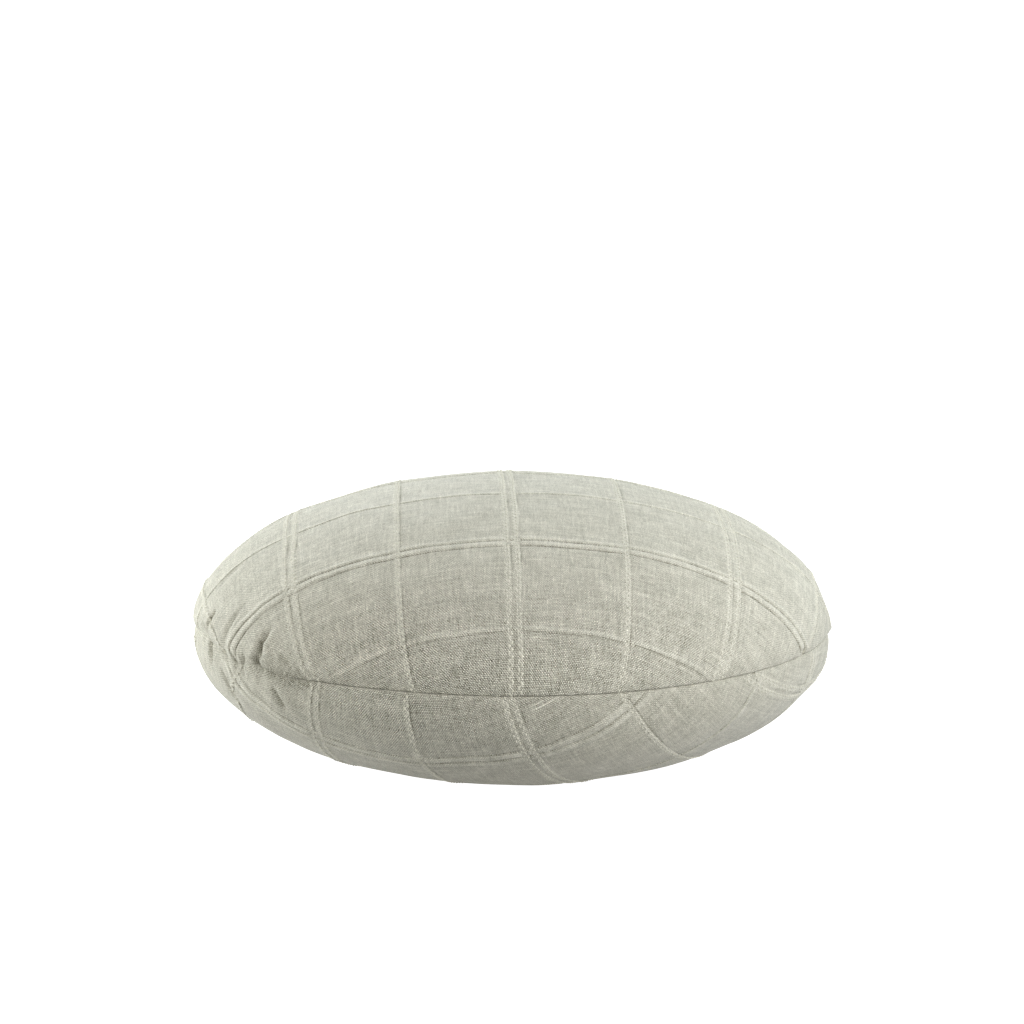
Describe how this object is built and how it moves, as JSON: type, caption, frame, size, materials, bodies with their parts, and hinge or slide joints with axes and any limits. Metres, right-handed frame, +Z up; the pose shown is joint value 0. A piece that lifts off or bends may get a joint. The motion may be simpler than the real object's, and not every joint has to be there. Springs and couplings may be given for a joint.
{
  "type": "round throw pillow",
  "caption": "Round filled throw pillow of linen-look cloth with a raised window check, seamed round its rim.",
  "frame": {"origin": "centre of the bounding box's bottom face, where the pillow rests on its back", "axes": "+Z up through the middle of both panels, -Y towards the front"},
  "size_m": [0.4, 0.4, 0.1739],
  "materials": {
    "window_check_cloth": "matt linen-look plain weave with raised self-coloured cords"
  },
  "bodies": {
    "root": {"cushion": "window_check_cloth"}
  },
  "joints": []
}
